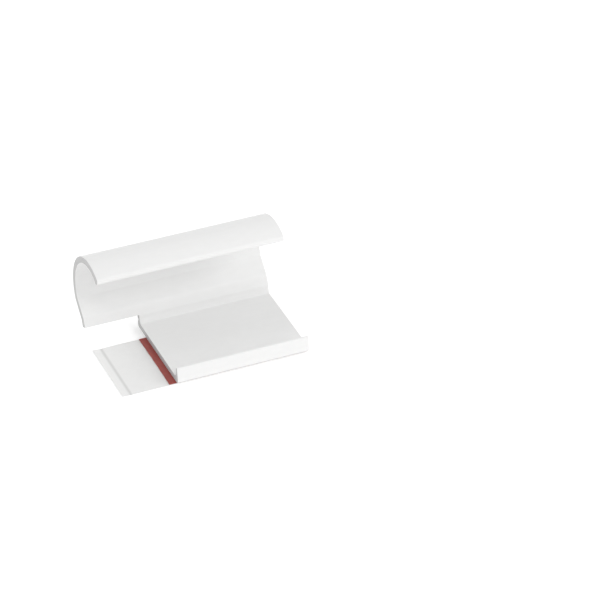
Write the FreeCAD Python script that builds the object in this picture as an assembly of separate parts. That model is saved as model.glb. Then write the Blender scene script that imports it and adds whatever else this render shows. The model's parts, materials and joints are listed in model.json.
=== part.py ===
import FreeCAD, Part
import math
import os

os.makedirs("parts", exist_ok=True)

# Adhesive cable clip, shown open. An extruded base carries a latch lip at the front and a
# curled lid on a living hinge at the rear. Under the base is a thin red adhesive tape on its
# white release liner, and the liner runs on past the base as a pull tab with a creased end.
# X runs along the extrusion with the pull tab at -X, +Y points to the hinge and +Z points up.
# The origin is under the middle of the base, on the underside of the liner.

# Lengths along the extrusion. All pieces end flush with each other at +X.
base_length = 34.0
lid_length = 48.0
tape_past_base = 1.8
liner_past_base = 13.8

# Layers under the base, and how far they stay back from its front and rear edges
liner_thickness = 0.12
tape_thickness = 0.23
liner_front_recess = 0.8
liner_rear_recess = 5.0
tape_side_recess = 0.15

# End of the pull tab, bent up a little along a crease
crease_from_end = 2.2
crease_lift = 0.15

# Plate of the base
plate_thickness = 1.5
plate_edge_round = 0.9

# Latch lip along the front of the base
lip_thickness = 1.1
lip_height = 2.3
lip_lean = 0.6
lip_belly_height = 1.5
lip_belly_round = 2.0
lip_top_round = 0.35
lip_foot_round = 0.3
lip_undercut = 0.2

# Living hinge along the rear of the base
hinge_rise = 0.5
hinge_inset = 0.9
hinge_root_radius = 0.55
hinge_clearance = 0.15
rear_rim_height = 0.3
rear_rim_round = 0.15

# Wall of the lid, from the hinge up to the curl
wall = 1.6
root_heading = 64.0
root_leg = 3.5
overhang_trim = 1.6
shoulder_turn = 22.0
shoulder_round = 2.0
slant_leg = 4.4

# Curl of the lid, its bead, and how the bead sits when the lid is closed
curl_radius = 10.35
bead_radius = 0.95
closing_angle = 67.0
bead_gap_closed = 0.2
latch_gap = 0.2


def point(y, z):
    return FreeCAD.Vector(0, y, z)


def direction(degrees):
    return point(math.cos(math.radians(degrees)), math.sin(math.radians(degrees)))


def swung(where, centre, degrees):
    """Turn a point of the section about a centre, from +Y towards +Z."""
    return centre + FreeCAD.Rotation(FreeCAD.Vector(1, 0, 0), degrees).multVec(where - centre)


def run(length):
    return {"length": length}


def bend(radius, turn):
    return {"radius": radius, "turn": turn}


def trace(start, heading, moves, side):
    """Edges of a line that keeps a distance to the left of a path of runs and bends."""
    here = start + direction(heading + 90) * side
    edges = []
    for move in moves:
        if "length" in move:
            there = here + direction(heading) * move["length"]
            edges.append(Part.LineSegment(here, there).toShape())
        else:
            turn = move["turn"]
            towards_centre = math.copysign(move["radius"], turn) - side
            centre = here + direction(heading + 90) * towards_centre
            middle = swung(here, centre, turn / 2)
            there = swung(here, centre, turn)
            edges.append(Part.Arc(here, middle, there).toShape())
            heading += turn
        here = there
    return edges, here, heading


def rounded_outline(corners):
    """Closed face through corners given as (y, z, radius); radius 0 leaves a sharp corner."""
    stretches = []
    for index, (y, z, radius) in enumerate(corners):
        corner = point(y, z)
        before = point(*corners[index - 1][:2]) - corner
        after = point(*corners[(index + 1) % len(corners)][:2]) - corner
        if radius == 0:
            stretches.append((corner, corner, corner))
            continue
        half_angle = before.getAngle(after) / 2
        inwards = (before.normalize() + after.normalize()).normalize()
        setback = radius / math.tan(half_angle)
        middle = corner + inwards * (radius / math.sin(half_angle) - radius)
        stretches.append((corner + before * setback, middle, corner + after * setback))
    edges = []
    for index, (start, middle, end) in enumerate(stretches):
        if start != end:
            edges.append(Part.Arc(start, middle, end).toShape())
        following = stretches[(index + 1) % len(stretches)][0]
        edges.append(Part.LineSegment(end, following).toShape())
    return Part.Face(Part.Wire(edges))


def extruded(face, left_end, length):
    solid = face.extrude(FreeCAD.Vector(length, 0, 0))
    solid.translate(FreeCAD.Vector(left_end, 0, 0))
    return solid


def rod(radius, centre, left_end, length):
    origin = FreeCAD.Vector(left_end, centre.y, centre.z)
    return Part.makeCylinder(radius, length, origin, FreeCAD.Vector(1, 0, 0))


# Heights
plate_bottom = liner_thickness + tape_thickness
plate_top = plate_bottom + plate_thickness
lip_top = plate_top + lip_height
pivot_z = plate_top + hinge_rise

# Path of the lid's middle line, first with the hinge at (0, 0)
shoulder_moves = [
    bend(shoulder_round, -shoulder_turn),
    run(slant_leg),
    bend(shoulder_round, shoulder_turn),
]
_, curl_start, curl_heading = trace(point(0, 0), root_heading, [run(root_leg)] + shoulder_moves, 0)
curl_centre = curl_start + direction(curl_heading + 90) * curl_radius

# The curl ends where its bead, swung shut, stays just above the plate.
bead_orbit = curl_radius + wall / 2 - bead_radius
shut_centre = swung(curl_centre, point(0, 0), closing_angle)
shut_bead_height = bead_gap_closed + bead_radius - hinge_rise
shut_bead_angle = 180 + math.degrees(math.asin((shut_centre.z - shut_bead_height) / bead_orbit))
open_bead_angle = shut_bead_angle - closing_angle
curl_sweep = open_bead_angle - (curl_heading - 90)
bead_centre = curl_centre + direction(open_bead_angle) * bead_orbit

# The lip stands just outside the circle that the bead swings through.
lid_reach = bead_centre.Length + bead_radius
lip_crest_from_pivot = math.sqrt((lid_reach + latch_gap) ** 2 - (lip_top - pivot_z) ** 2)
base_width = lip_crest_from_pivot + lip_undercut + lip_thickness + hinge_inset
pivot = point(base_width / 2 - hinge_inset, pivot_z)

# Edges of the base and of the layers below it
base_left = -base_length / 2
base_right = base_length / 2
base_front = -base_width / 2
base_rear = base_width / 2
lid_left = base_right - lid_length
liner_front = base_front + liner_front_recess
liner_rear = base_rear - liner_rear_recess
liner_left = base_left - liner_past_base


def make_base():
    lip_inner_foot = base_front + lip_thickness
    section = rounded_outline([
        (base_front, plate_bottom, plate_edge_round),
        (base_front, plate_bottom + lip_belly_height, lip_belly_round),
        (base_front + lip_lean, lip_top, lip_top_round),
        (lip_inner_foot + lip_undercut, lip_top, lip_top_round),
        (lip_inner_foot, plate_top, lip_foot_round),
        (pivot.y, plate_top, 0),
        (pivot.y, plate_top + rear_rim_height, 0),
        (base_rear, plate_top + rear_rim_height, rear_rim_round),
        (base_rear, plate_bottom, plate_edge_round),
    ])
    seat = rod(hinge_root_radius + hinge_clearance, pivot, base_left, base_length)
    return extruded(section, base_left, base_length).cut(seat)


def make_lid():
    wall_start = pivot + direction(root_heading) * overhang_trim
    moves = [run(root_leg - overhang_trim)] + shoulder_moves + [bend(curl_radius, curl_sweep)]
    outer, outer_end, _ = trace(wall_start, root_heading, moves, -wall / 2)
    inner, inner_end, _ = trace(wall_start, root_heading, moves, wall / 2)
    across = direction(root_heading + 90)
    ends = [
        Part.LineSegment(wall_start - across * wall / 2, wall_start + across * wall / 2).toShape(),
        Part.LineSegment(outer_end, inner_end).toShape(),
    ]
    section = Part.Face(Part.Wire(Part.sortEdges(outer + inner + ends)[0]))
    curl = extruded(section, lid_left, lid_length)
    bead = rod(bead_radius, pivot + bead_centre, lid_left, lid_length)
    return curl.fuse([bead, make_neck(wall_start, across)]).removeSplitter()


def make_neck(wall_start, across):
    """Taper from the wall down to the round root in the hinge, only as long as the base."""
    taper = Part.makePolygon([
        pivot - across * hinge_root_radius,
        wall_start - across * wall / 2,
        wall_start + across * wall / 2,
        pivot + across * hinge_root_radius,
        pivot - across * hinge_root_radius,
    ])
    root = rod(hinge_root_radius, pivot, base_left, base_length)
    return extruded(Part.Face(taper), base_left, base_length).fuse(root)


def make_tape():
    """Tape between the liner and the base, showing a little at the pull tab's end."""
    corner = FreeCAD.Vector(
        base_left - tape_past_base,
        liner_front + tape_side_recess,
        liner_thickness,
    )
    width = liner_rear - liner_front - 2 * tape_side_recess
    return Part.makeBox(base_length + tape_past_base, width, tape_thickness, corner)


def make_liner():
    """Release liner, seen from the side as a thin strip with its end creased upwards."""
    crease = liner_left + crease_from_end
    side = Part.makePolygon([
        FreeCAD.Vector(base_right, liner_front, 0),
        FreeCAD.Vector(base_right, liner_front, liner_thickness),
        FreeCAD.Vector(crease, liner_front, liner_thickness),
        FreeCAD.Vector(liner_left, liner_front, liner_thickness + crease_lift),
        FreeCAD.Vector(liner_left, liner_front, crease_lift),
        FreeCAD.Vector(crease, liner_front, 0),
        FreeCAD.Vector(base_right, liner_front, 0),
    ])
    return Part.Face(side).extrude(FreeCAD.Vector(0, liner_rear - liner_front, 0))


nodes = {
    "clip_base": make_base(),
    "clip_lid": make_lid(),
    "adhesive_tape": make_tape(),
    "release_liner": make_liner(),
}
for name, shape in nodes.items():
    shape.exportStep("parts/" + name + ".step")
    print(name, "solids", len(shape.Solids), "valid", shape.isValid(), "volume", round(shape.Volume, 2))
print("base width", round(base_width, 3), "pivot", round(pivot.y, 3), round(pivot.z, 3))
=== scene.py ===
import json
import math

import bmesh
import bpy
from mathutils import Matrix, Vector


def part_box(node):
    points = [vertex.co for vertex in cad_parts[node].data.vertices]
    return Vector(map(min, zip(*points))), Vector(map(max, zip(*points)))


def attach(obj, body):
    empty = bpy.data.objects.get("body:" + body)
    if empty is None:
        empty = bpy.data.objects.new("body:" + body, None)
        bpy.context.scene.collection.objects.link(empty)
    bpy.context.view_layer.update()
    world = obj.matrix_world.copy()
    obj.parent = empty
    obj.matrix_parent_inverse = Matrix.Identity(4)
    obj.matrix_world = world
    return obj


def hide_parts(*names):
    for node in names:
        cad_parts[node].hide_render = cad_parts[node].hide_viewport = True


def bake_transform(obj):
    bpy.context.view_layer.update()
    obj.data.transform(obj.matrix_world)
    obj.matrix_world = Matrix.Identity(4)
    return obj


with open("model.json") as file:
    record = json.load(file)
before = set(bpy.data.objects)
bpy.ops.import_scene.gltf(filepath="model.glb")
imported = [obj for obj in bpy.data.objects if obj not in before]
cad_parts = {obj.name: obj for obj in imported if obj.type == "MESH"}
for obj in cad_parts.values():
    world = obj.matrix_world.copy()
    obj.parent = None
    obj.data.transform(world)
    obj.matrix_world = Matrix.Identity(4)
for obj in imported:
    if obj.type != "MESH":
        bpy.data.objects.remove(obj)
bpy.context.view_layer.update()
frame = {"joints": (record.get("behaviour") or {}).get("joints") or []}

# Adhesive cable clip, shown open: one white moulding of base and lid on red tape, and the tape's
# liner, which runs on as a pull tab. X runs along the extrusion with the pull tab at -X, +Y points
# to the hinge and +Z points up.
MM = 0.001
X_AXIS = Vector((1.0, 0.0, 0.0))
Y_AXIS = Vector((0.0, 1.0, 0.0))

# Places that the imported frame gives
hinge = Vector(frame["joints"][0]["pos_m"])
base_low, base_high = (Vector(corner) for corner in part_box("clip_base"))
lid_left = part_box("clip_lid")[0][0]
tape_low, tape_high = (Vector(corner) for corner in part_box("adhesive_tape"))
liner_low, liner_high = (Vector(corner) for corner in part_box("release_liner"))

# A round is given by its setback, which is how far from the corner it starts, and by the number
# of its flat steps.
cut_edge_setback = 0.09 * MM
cut_edge_steps = 3
small_round_steps = 4
large_round_steps = 7

# Plate and latch lip. The lip stands higher than the solid's, as it does in the photo.
plate_bottom = base_low.z
plate_top = plate_bottom + 1.5 * MM
plate_edge_setback = 0.9 * MM
lip_thickness = 1.1 * MM
lip_lean = 0.6 * MM
lip_undercut = 0.2 * MM
lip_top = base_high.z + 0.4 * MM
lip_outer_top_setback = 0.264 * MM
lip_inner_top_setback = 0.363 * MM
lip_belly = plate_bottom + 1.5 * MM
lip_belly_setback = 0.257 * MM
lip_belly_steps = 3
lip_foot_setback = 1.44 * MM
lip_foot_steps = 8

# Living hinge: a web that rises from the plate and thickens into the wall, and a low rim behind
# it. The web is lifted straight up first, and then its corners are moved into place. Its lengths
# are counted from the hinge.
rim_top = plate_top + 0.3 * MM
rim_setback = 0.15 * MM
rim_steps = 3
web_thickness = 1.0 * MM
web_start = 0.3 * MM
web_end = 1.6 * MM
web_steps = 5
web_foot_reach = 0.35 * MM
web_foot_setback = 0.3 * MM
first_lift = 1.0 * MM

# Wall of the lid, from the web up to the curl. Headings and turns are in degrees, and root_end
# is counted from the hinge.
wall = 1.6 * MM
root_heading = 64.0
root_end = 3.5 * MM
shoulder_turn = 22.0
shoulder_round = 2.0 * MM
shoulder_steps = 7
slant_leg = 4.4 * MM

# Curl and bead. The sweep, in degrees, sets the bead just above the plate when the lid is shut.
# Each pair is a place along the curl, counted from the bead's middle, and how far the inside of
# the wall has swollen there, in millimetres.
curl_radius = 10.35 * MM
curl_sweep = 142.842
curl_steps = 54
bead_radius = 0.95 * MM
bead_tip_setback = 0.93 * bead_radius
swell_start = 1.4 * MM
swelling = ((-1.0, 0.03), (-0.7, 0.12), (-0.4, 0.27), (0.0, 0.4), (0.95, 0.4))

# Tape. Its cut end drifts inwards by these millimetres, at even steps along the cut.
tape_edge_setback = 0.05 * MM
cut_drift = (0.02, 0.07, 0.03, 0.09, 0.05, 0.1, 0.04, 0.08, 0.03)

# Liner. Its pull tab bows up by the second number, in millimetres, at a share of the way from
# the crease to the tape.
liner_thickness = 0.12 * MM
liner_edge_setback = 0.025 * MM
crease = liner_low.x + 2.2 * MM
crease_half_width = 0.35 * MM
crease_depth = 0.06 * MM
crease_lift = 0.15 * MM
tab_bow = ((0.18, 0.02), (0.36, 0.05), (0.55, 0.07), (0.72, 0.05), (0.87, 0.02))
sheet_edge_steps = 2

# How near an edge or a face lies to where it is looked for, and how near doubles are
section_tolerance = 0.02 * MM
line_tolerance = 0.01 * MM
merge_distance = 0.0001 * MM

# The X part of a direction tells what it belongs to: a lengthwise edge, the normal of a cut end
# or the normal of a lengthwise face.
least_along_edge = 0.999
least_at_cut = 0.9
most_at_side = 0.5

# Angles in degrees between faces, above which a moulding or a sheet keeps a sharp edge, and
# above which a sheet's edge is part of its outline
moulding_sharp_angle = 35.0
sheet_sharp_angle = 40.0
sheet_outline_angle = 60.0

# Studio, in metres and degrees. Softboxes are square and a metre from the clip's middle, and
# their powers in watts were fitted to the tones of the photo.
floor_size = 4.0
air_strength = 0.73
clip_middle = Vector((0.0, 0.0, 0.01))
softbox_size = 0.6
softboxes = (
    {"name": "front_light", "around": -45.0, "up": 31.0, "power": 3.5},
    {"name": "rear_light", "around": 135.0, "up": 55.0, "power": 1.7},
    {"name": "end_light", "around": 0.0, "up": 15.0, "power": 1.2},
)

# Camera, solved from the straight edges of the clip. Lens and sensor are in millimetres.
camera_place = Vector((-272.01, -648.56, 511.82)) * MM
camera_right = Vector((0.91579, -0.4014, 0.01437))
camera_ahead = Vector((0.33483, 0.74323, -0.57922))
camera_lens = 216.0
camera_sensor = 36.0
camera_clip_start = 0.01


class Value:
    """A number socket that takes part in Python sums as Math nodes."""

    def __init__(self, finish, socket):
        self.finish = finish
        self.socket = socket

    def __add__(self, other):
        return self.finish.math("ADD", self, other)

    def __sub__(self, other):
        return self.finish.math("SUBTRACT", self, other)

    def __rsub__(self, other):
        return self.finish.math("SUBTRACT", other, self)

    def __mul__(self, other):
        return self.finish.math("MULTIPLY", self, other)

    def __abs__(self):
        return self.finish.math("ABSOLUTE", self, 0.0)

    __radd__ = __add__
    __rmul__ = __mul__


class Finish:
    """A material under construction, with the Principled shader's plain values given first."""

    def __init__(self, name, constants):
        self.material = bpy.data.materials.new(name)
        self.material.use_nodes = True
        self.tree = self.material.node_tree
        self.tree.nodes.clear()
        self.surface = self.add("ShaderNodeBsdfPrincipled", {}, constants)
        self.add("ShaderNodeOutputMaterial", {}, {"Surface": self.surface.outputs["BSDF"]})
        self.coordinates = self.add("ShaderNodeTexCoord", {}, {})
        self.place = self.coordinates.outputs["Object"]

    def add(self, kind, settings, sockets):
        """One node: its settings first, then the values or links of its sockets."""
        node = self.tree.nodes.new(kind)
        for setting, value in settings.items():
            setattr(node, setting, value)
        for name, value in sockets.items():
            self.feed(node.inputs[name], value)
        return node

    def feed(self, socket, value):
        if isinstance(value, Value):
            value = value.socket
        if isinstance(value, bpy.types.NodeSocket):
            self.tree.links.new(value, socket)
        else:
            socket.default_value = value

    def show(self, name, value):
        """Feed a socket of the surface by its name."""
        self.feed(self.surface.inputs[name], value)

    def math(self, operation, first, second):
        node = self.add("ShaderNodeMath", {"operation": operation}, {0: first, 1: second})
        return Value(self, node.outputs[0])

    def along_x(self, vector):
        """The X part of a place or a direction."""
        axes = self.add("ShaderNodeSeparateXYZ", {}, {"Vector": vector})
        return Value(self, axes.outputs["X"])

    def scaled(self, x, y, z):
        """The place in millimetres times a factor along each axis. Small factors draw it out."""
        factors = Vector((x, y, z)) / MM
        node = self.add("ShaderNodeMapping", {}, {"Vector": self.place, "Scale": factors})
        return node.outputs["Vector"]

    def noise(self, place, scale=1.0, detail=2.0, roughness=0.55, distortion=0.0):
        node = self.add("ShaderNodeTexNoise", {}, {
            "Vector": place,
            "Scale": scale,
            "Detail": detail,
            "Roughness": roughness,
            "Distortion": distortion,
        })
        return Value(self, node.outputs["Fac"])

    def spread(self, value, low, high, new_low=0.0, new_high=1.0):
        """The value moved from one range to another and held there."""
        node = self.add("ShaderNodeMapRange", {"clamp": True}, {
            "Value": value,
            "From Min": low,
            "From Max": high,
            "To Min": new_low,
            "To Max": new_high,
        })
        return Value(self, node.outputs["Result"])

    def blend(self, factor, first, second):
        """Colour between two colours."""
        node = self.add("ShaderNodeMix", {"data_type": "RGBA"}, {"Factor": factor})
        colour_inputs = [socket for socket in node.inputs if socket.type == "RGBA"]
        self.feed(colour_inputs[0], first)
        self.feed(colour_inputs[1], second)
        return next(socket for socket in node.outputs if socket.type == "RGBA")

    def end_faces(self):
        """1 on faces square to the X axis, 0 elsewhere."""
        return self.spread(abs(self.along_x(self.coordinates.outputs["Normal"])), 0.8, 0.95)

    def bump(self, height, depth):
        """Bump from a height of 0 to 1 that stands for a depth in metres."""
        node = self.add("ShaderNodeBump", {}, {"Height": height, "Distance": depth})
        self.show("Normal", node.outputs["Normal"])


def white_plastic():
    """Extruded white plastic: satin, with faint die lines along X, rougher cut ends, and painted
    shade that darkens the cut ends.
    """
    finish = Finish("white_plastic", {"IOR": 1.53})
    die_lines = finish.noise(finish.scaled(0.02, 3.0, 3.0), detail=4.0, roughness=0.6)
    mottle = finish.noise(finish.scaled(0.35, 0.8, 0.8))
    grain = finish.noise(finish.scaled(1.0, 1.0, 1.0), scale=9.0)
    cut = finish.end_faces()
    cut_marks = finish.noise(finish.scaled(1.0, 9.0, 1.2), detail=4.0, roughness=0.65)
    tone = finish.blend(mottle, (0.79, 0.79, 0.785, 1.0), (0.825, 0.825, 0.822, 1.0))
    # Painted shade: faces square to X take a much darker tone, with the saw marks mixed into it.
    cut_marks_in_painted_shade = finish.blend(cut_marks, (0.47, 0.47, 0.47, 1.0), (0.58, 0.58, 0.575, 1.0))
    finish.show("Base Color", finish.blend(cut, tone, cut_marks_in_painted_shade))
    moulded_roughness = 0.34 + die_lines * 0.10 + mottle * 0.06
    cut_roughness = 0.62 + cut_marks * 0.2
    finish.show("Roughness", moulded_roughness + cut * (cut_roughness - moulded_roughness))
    moulded_height = die_lines * 0.5 + grain * 0.12
    cut_height = cut_marks * 1.6 + grain * 0.4
    finish.bump(moulded_height + cut * (cut_height - moulded_height), 0.012 * MM)
    return finish.material


def red_tape():
    """Thin red adhesive tape: clouded, with drawn lines along X and a soft gloss."""
    finish = Finish("red_tape", {"IOR": 1.5})
    drawn = finish.noise(finish.scaled(0.15, 4.0, 1.0), detail=3.0)
    clouds = finish.noise(finish.scaled(0.5, 0.5, 0.5))
    streaks = clouds * 0.6 + drawn * 0.4
    tone = finish.blend(streaks, (0.26, 0.042, 0.034, 1.0), (0.43, 0.085, 0.068, 1.0))
    finish.show("Base Color", tone)
    finish.show("Roughness", 0.3 + drawn * 0.2)
    finish.bump(drawn, 0.01 * MM)
    return finish.material


def liner_paper():
    """Coated white paper with short fibres, with painted shade darkening it along its crease."""
    finish = Finish("liner_paper", {"IOR": 1.45})
    fibres = finish.noise(
        finish.scaled(3.0, 9.0, 3.0),
        detail=4.0,
        roughness=0.7,
        distortion=0.6,
    )
    clouds = finish.noise(finish.scaled(0.6, 0.6, 0.6), detail=3.0)
    coating = finish.blend(clouds, (0.79, 0.79, 0.785, 1.0), (0.84, 0.84, 0.835, 1.0))
    tone = finish.blend(fibres * 0.25, coating, (0.72, 0.72, 0.71, 1.0))
    from_crease = abs(finish.along_x(finish.place) - crease)
    # Painted shade: the paper darkens towards the crease line, most within 0.08 mm of it, fading
    # out by 0.55 mm.
    painted_crease_shade = finish.spread(from_crease, 0.08 * MM, 0.55 * MM, 0.5, 0.0)
    finish.show("Base Color", finish.blend(painted_crease_shade, tone, (0.50, 0.50, 0.49, 1.0)))
    finish.show("Roughness", 0.5 + fibres * 0.15)
    finish.bump(fibres, 0.012 * MM)
    return finish.material


def pale_floor():
    """Evenly lit studio floor, a little uneven, with a faint glow that thins shadows."""
    finish = Finish("studio_floor", {
        "IOR": 1.3,
        "Emission Color": (1.0, 1.0, 1.0, 1.0),
        "Emission Strength": 0.22,
    })
    clouds = finish.noise(finish.scaled(0.01, 0.01, 0.01))
    tone = finish.blend(clouds, (0.93, 0.93, 0.93, 1.0), (0.95, 0.95, 0.95, 1.0))
    finish.show("Base Color", tone)
    finish.show("Roughness", 0.9 + clouds * 0.05)
    return finish.material


def place_at(y, z):
    """Place in the section, which lies square to the X axis."""
    return Vector((0.0, y, z))


def direction(degrees):
    """Direction in the section, from +Y towards +Z."""
    return place_at(math.cos(math.radians(degrees)), math.sin(math.radians(degrees)))


def swung(place, centre, degrees):
    return centre + Matrix.Rotation(math.radians(degrees), 3, "X") @ (place - centre)


def block(name, low, high):
    """A block between two corners, left in edit mode."""
    bpy.ops.object.select_all(action="DESELECT")
    bpy.ops.mesh.primitive_cube_add(size=1.0, location=(low + high) / 2, scale=high - low)
    bpy.ops.object.transform_apply(location=True, rotation=True, scale=True)
    piece = bpy.context.object
    piece.name = name
    piece.data.name = name
    bpy.ops.object.mode_set(mode="EDIT")
    return piece


def choose(piece, kind, test):
    """Select only the faces or edges that pass a test."""
    bpy.ops.mesh.select_mode(type=kind)
    bpy.ops.mesh.select_all(action="DESELECT")
    mesh = bmesh.from_edit_mesh(piece.data)
    for item in mesh.faces if kind == "FACE" else mesh.edges:
        if test(item):
            item.select_set(True)
    bmesh.update_edit_mesh(piece.data)


def lies_at(item, place):
    """True for a face or an edge whose middle has this place in the section."""
    middle = sum((corner.co for corner in item.verts), Vector()) / len(item.verts)
    return math.hypot(middle.y - place.y, middle.z - place.z) < section_tolerance


def runs_lengthwise(edge):
    along = (edge.verts[1].co - edge.verts[0].co).normalized()
    return abs(along.x) > least_along_edge


def choose_cap(piece, place):
    """Select the lengthwise face at a place in the section."""

    def is_the_cap(face):
        return abs(face.normal.x) < most_at_side and lies_at(face, place)

    choose(piece, "FACE", is_the_cap)


def choose_corners(piece, places):
    """Select the lengthwise edges at corners of the section."""

    def at_a_corner(edge):
        return runs_lengthwise(edge) and any(lies_at(edge, place) for place in places)

    choose(piece, "EDGE", at_a_corner)


def slice_all(place, square_to):
    bpy.ops.mesh.select_all(action="SELECT")
    bpy.ops.mesh.bisect(plane_co=place, plane_no=square_to, threshold=merge_distance)


def push_out(step):
    bpy.ops.mesh.extrude_region_move(TRANSFORM_OT_translate={"value": step})


def swell(factor, middle):
    """Widen the chosen cap in the section about a point."""
    bpy.ops.transform.resize(value=(1.0, factor, factor), center_override=middle)


def move_corner(piece, place, new_place):
    choose_corners(piece, [place])
    bpy.ops.transform.translate(value=new_place - place)


def round_chosen(setback, steps):
    bpy.ops.mesh.bevel(offset=setback, segments=steps, profile=0.5, clamp_overlap=False)


def round_corners(piece, places, setback, steps):
    choose_corners(piece, places)
    round_chosen(setback, steps)


def sweep(centre, degrees, steps):
    """Sweep the chosen cap round a line along X. Spin counts its angle the other way."""
    angle = math.radians(-degrees)
    bpy.ops.mesh.spin(steps=steps, angle=angle, center=centre, axis=X_AXIS)


def smooth(piece, sharp_angle):
    """Leave edit mode, and shade smooth with flats kept flat and sharp edges kept sharp."""
    bpy.ops.object.mode_set(mode="OBJECT")
    bpy.ops.object.shade_smooth_by_angle(angle=math.radians(sharp_angle))
    bpy.ops.object.modifier_add(type="WEIGHTED_NORMAL")
    weighting = piece.modifiers[-1]
    weighting.keep_sharp = True
    bpy.ops.object.modifier_apply(modifier=weighting.name)


def make_moulding():
    """The clip as one extrusion: plate, latch lip, living hinge and curled lid."""
    moulding = block("clip_moulding", base_low, Vector((base_high.x, base_high.y, plate_top)))
    raise_lip(moulding)
    here = raise_web(moulding)
    here, heading = raise_wall(here)
    curl_the_lid(moulding, here, heading)
    run_past_the_base(moulding)
    break_cut_edges(moulding)
    smooth(moulding, moulding_sharp_angle)
    return moulding


def raise_lip(moulding):
    """Latch lip along the front of the plate, leaning back, with its crest over the channel."""
    front = base_low.y
    foot = front + lip_thickness
    outer_top = place_at(front + lip_lean, lip_top)
    inner_top = place_at(foot + lip_undercut, lip_top)
    belly = place_at(front, lip_belly)
    slice_all(place_at(foot, 0.0), Y_AXIS)
    choose_cap(moulding, place_at(front + lip_thickness / 2, plate_top))
    push_out(place_at(0.0, lip_top - plate_top))
    move_corner(moulding, place_at(front, lip_top), outer_top)
    move_corner(moulding, place_at(foot, lip_top), inner_top)
    move_corner(moulding, place_at(front, plate_top), belly)
    round_corners(moulding, [outer_top], lip_outer_top_setback, small_round_steps)
    round_corners(moulding, [inner_top], lip_inner_top_setback, small_round_steps)
    round_corners(moulding, [belly], lip_belly_setback, lip_belly_steps)
    round_corners(moulding, [place_at(foot, plate_top)], lip_foot_setback, lip_foot_steps)
    bottom_edge = place_at(front, plate_bottom)
    round_corners(moulding, [bottom_edge], plate_edge_setback, large_round_steps)


def raise_web(moulding):
    """Web of the living hinge up to the wall's thickness, with the low rim behind it."""
    along = direction(root_heading)
    across = direction(root_heading + 90.0) * web_thickness / 2
    start = hinge + along * web_start
    rim_edge = place_at(base_high.y, rim_top)
    front_foot = place_at(start.y + across.y - web_foot_reach, plate_top)
    rear_foot = place_at(hinge.y - across.y, plate_top)
    raised_rear_foot = place_at(rear_foot.y, rim_top)
    lift = place_at(0.0, first_lift)
    slice_all(front_foot, Y_AXIS)
    slice_all(rear_foot, Y_AXIS)
    move_corner(moulding, rear_foot, raised_rear_foot)
    move_corner(moulding, place_at(base_high.y, plate_top), rim_edge)
    choose_cap(moulding, (front_foot + raised_rear_foot) / 2)
    push_out(lift)
    move_corner(moulding, front_foot + lift, start + across)
    move_corner(moulding, raised_rear_foot + lift, start - across)
    choose_cap(moulding, start)
    here = thicken_web(start, along)
    bottom_edge = place_at(base_high.y, plate_bottom)
    round_corners(moulding, [front_foot], web_foot_setback, small_round_steps)
    round_corners(moulding, [rim_edge], rim_setback, rim_steps)
    round_corners(moulding, [bottom_edge], plate_edge_setback, large_round_steps)
    choose_cap(moulding, here)
    return here


def thicken_web(here, along):
    """Push the chosen cap out in steps that swell gently to the wall's thickness."""
    rise = along * (web_end - web_start) / web_steps
    thickness = web_thickness
    for step in range(1, web_steps + 1):
        here = here + rise
        push_out(rise)
        share = step / web_steps
        gentle_share = share * share * (3.0 - 2.0 * share)
        wanted = web_thickness + (wall - web_thickness) * gentle_share
        swell(wanted / thickness, here)
        thickness = wanted
    return here


def raise_wall(here):
    """Straight root of the lid, its shoulder, the slant and the bend back, from the chosen cap."""
    heading = root_heading
    legs = (
        (0.0, root_end - web_end),
        (-shoulder_turn, slant_leg),
        (shoulder_turn, 0.0),
    )
    for turn, length in legs:
        if turn:
            centre = here + direction(heading + math.copysign(90.0, turn)) * shoulder_round
            sweep(centre, turn, shoulder_steps)
            here = swung(here, centre, turn)
            heading += turn
        if length:
            push_out(direction(heading) * length)
            here = here + direction(heading) * length
    return here, heading


def curl_the_lid(moulding, here, heading):
    """Curl about its centre, ending in the rounded bead that snaps behind the lip."""
    centre = here + direction(heading + 90.0) * curl_radius
    outer = curl_radius + wall / 2
    inner = curl_radius - wall / 2
    bead_orbit = outer - bead_radius
    degrees_per_metre = math.degrees(1.0 / bead_orbit)
    plain_sweep = curl_sweep - swell_start * degrees_per_metre
    sweep(centre, plain_sweep, curl_steps)
    angle = heading - 90.0 + plain_sweep
    reached = -swell_start
    for place, depth in swelling:
        turn = (place * MM - reached) * degrees_per_metre
        sweep(centre, turn, 1)
        angle += turn
        new_inner = curl_radius - wall / 2 - depth * MM
        swell((outer - new_inner) / (outer - inner), centre + direction(angle) * outer)
        inner = new_inner
        reached = place * MM
    tips = [centre + direction(angle) * outer, centre + direction(angle) * inner]
    round_corners(moulding, tips, bead_tip_setback, large_round_steps)


def run_past_the_base(moulding):
    """The wall and curl carry on to -X, past the end of the base and of the hinge."""
    along = direction(root_heading)
    foot = hinge + along * web_end

    def beyond_the_web(face):
        middle = face.calc_center_median()
        return face.normal.x < -least_at_cut and (middle - foot).dot(along) > 0.0

    choose(moulding, "FACE", beyond_the_web)
    push_out(X_AXIS * (lid_left - base_low.x))


def break_cut_edges(moulding):
    """Close the moulding and break the edges all round its cut ends."""
    bpy.ops.mesh.select_all(action="SELECT")
    bpy.ops.mesh.remove_doubles(threshold=merge_distance)
    bpy.ops.mesh.normals_make_consistent(inside=False)

    def bounds_a_cut(edge):
        side, cut = sorted(abs(face.normal.x) for face in edge.link_faces)
        return side < most_at_side and cut > least_at_cut and edge.is_convex

    choose(moulding, "EDGE", bounds_a_cut)
    round_chosen(cut_edge_setback, cut_edge_steps)


def near(value, wanted):
    return abs(value - wanted) < line_tolerance


def shift(piece, test, step):
    """Move the edges whose two ends both pass a test."""
    choose(piece, "EDGE", lambda edge: all(test(corner.co) for corner in edge.verts))
    bpy.ops.transform.translate(value=step)


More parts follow.
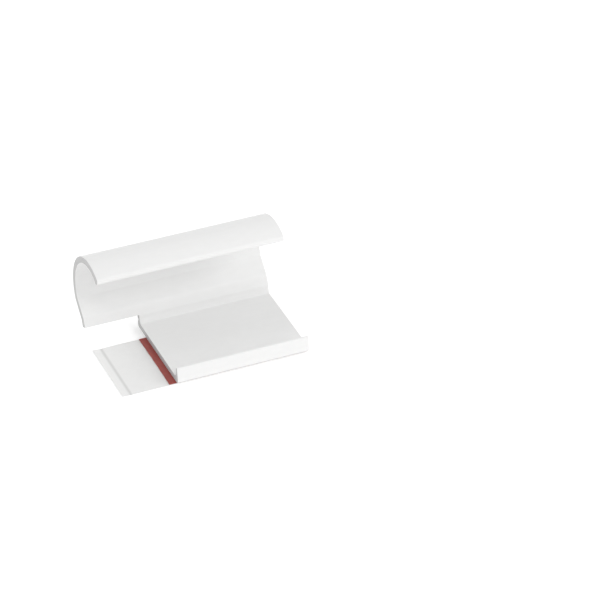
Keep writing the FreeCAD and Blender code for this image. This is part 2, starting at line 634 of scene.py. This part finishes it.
def finish_sheet(sheet, edge_setback):
    """Worn outline all round a thin sheet, and smooth shading across its gentle waves."""
    outline_angle = math.radians(sheet_outline_angle)
    choose(sheet, "EDGE", lambda edge: edge.calc_face_angle(0.0) > outline_angle)
    round_chosen(edge_setback, sheet_edge_steps)
    bpy.ops.mesh.select_all(action="SELECT")
    bpy.ops.mesh.normals_make_consistent(inside=False)
    smooth(sheet, sheet_sharp_angle)


def make_tape_strip():
    """Red tape between the liner and the base, its cut end a little out of true."""
    tape = block("tape_strip", tape_low, tape_high)
    spacing = (tape_high.y - tape_low.y) / (len(cut_drift) + 1)
    stations = [tape_low.y + spacing * (index + 1) for index in range(len(cut_drift))]
    for y in stations:
        slice_all(place_at(y, 0.0), Y_AXIS)
    for y, drift in zip(stations, cut_drift):
        shift(
            tape,
            lambda corner: near(corner.x, tape_low.x) and near(corner.y, y),
            X_AXIS * drift * MM,
        )
    finish_sheet(tape, tape_edge_setback)
    return tape


def make_liner_sheet():
    """White liner that runs on as the pull tab, slightly bowed, scored and bent up at its end."""
    top = liner_low.z + liner_thickness
    liner = block("liner_sheet", liner_low, Vector((liner_high.x, liner_high.y, top)))
    tab_length = tape_low.x - crease
    bow = [(crease + share * tab_length, rise * MM) for share, rise in tab_bow]
    score = [crease - crease_half_width, crease, crease + crease_half_width]
    for x in score + [tape_low.x] + [x for x, _ in bow]:
        slice_all(X_AXIS * x, X_AXIS)
    for x, rise in bow:
        shift(liner, lambda corner: near(corner.x, x), place_at(0.0, rise))
    shift(liner, lambda corner: near(corner.x, liner_low.x), place_at(0.0, crease_lift))
    shift(
        liner,
        lambda corner: near(corner.x, crease) and near(corner.z, top),
        place_at(0.0, -crease_depth),
    )
    finish_sheet(liner, liner_edge_setback)
    return liner


def dress(piece, material):
    piece.data.materials.clear()
    piece.data.materials.append(material)


def make_studio():
    bpy.ops.object.select_all(action="DESELECT")
    bpy.ops.mesh.primitive_plane_add(size=floor_size, location=(0, 0, 0))
    floor = bpy.context.object
    floor.name = "studio_floor"
    dress(floor, pale_floor())

    air = bpy.data.worlds.new("studio_air")
    air.use_nodes = True
    background = air.node_tree.nodes["Background"]
    background.inputs["Color"].default_value = (1.0, 1.0, 1.0, 1.0)
    background.inputs["Strength"].default_value = air_strength
    bpy.context.scene.world = air

    for softbox in softboxes:
        add_softbox(**softbox)


def add_softbox(name, around, up, power):
    """Softbox placed by its angle round from +X and its angle up from the floor, in degrees."""
    away = Matrix.Rotation(math.radians(around), 3, "Z") @ Vector((
        math.cos(math.radians(up)),
        0.0,
        math.sin(math.radians(up)),
    ))
    light = bpy.data.lights.new(name, "AREA")
    light.shape = "SQUARE"
    light.size = softbox_size
    light.energy = power
    lamp = bpy.data.objects.new(name, light)
    bpy.context.scene.collection.objects.link(lamp)
    lamp.location = clip_middle + away
    lamp.rotation_euler = (-away).to_track_quat("-Z", "Y").to_euler()


def make_camera():
    lens = bpy.data.cameras.new("photo_camera")
    lens.lens = camera_lens
    lens.sensor_width = camera_sensor
    lens.sensor_fit = "HORIZONTAL"
    lens.clip_start = camera_clip_start
    camera = bpy.data.objects.new("photo_camera", lens)
    bpy.context.scene.collection.objects.link(camera)
    up = camera_right.cross(camera_ahead)
    turn = Matrix((camera_right, up, -camera_ahead)).transposed()
    camera.matrix_world = Matrix.Translation(camera_place) @ turn.to_4x4()
    bpy.context.scene.camera = camera


moulding = make_moulding()
dress(moulding, white_plastic())
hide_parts("clip_base", "clip_lid")
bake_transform(moulding)

tape_strip = make_tape_strip()
dress(tape_strip, red_tape())
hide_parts("adhesive_tape")
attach(tape_strip, "base")

liner_sheet = make_liner_sheet()
dress(liner_sheet, liner_paper())
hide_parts("release_liner")
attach(liner_sheet, "base")

make_studio()
make_camera()
bpy.context.scene.view_settings.view_transform = "Standard"
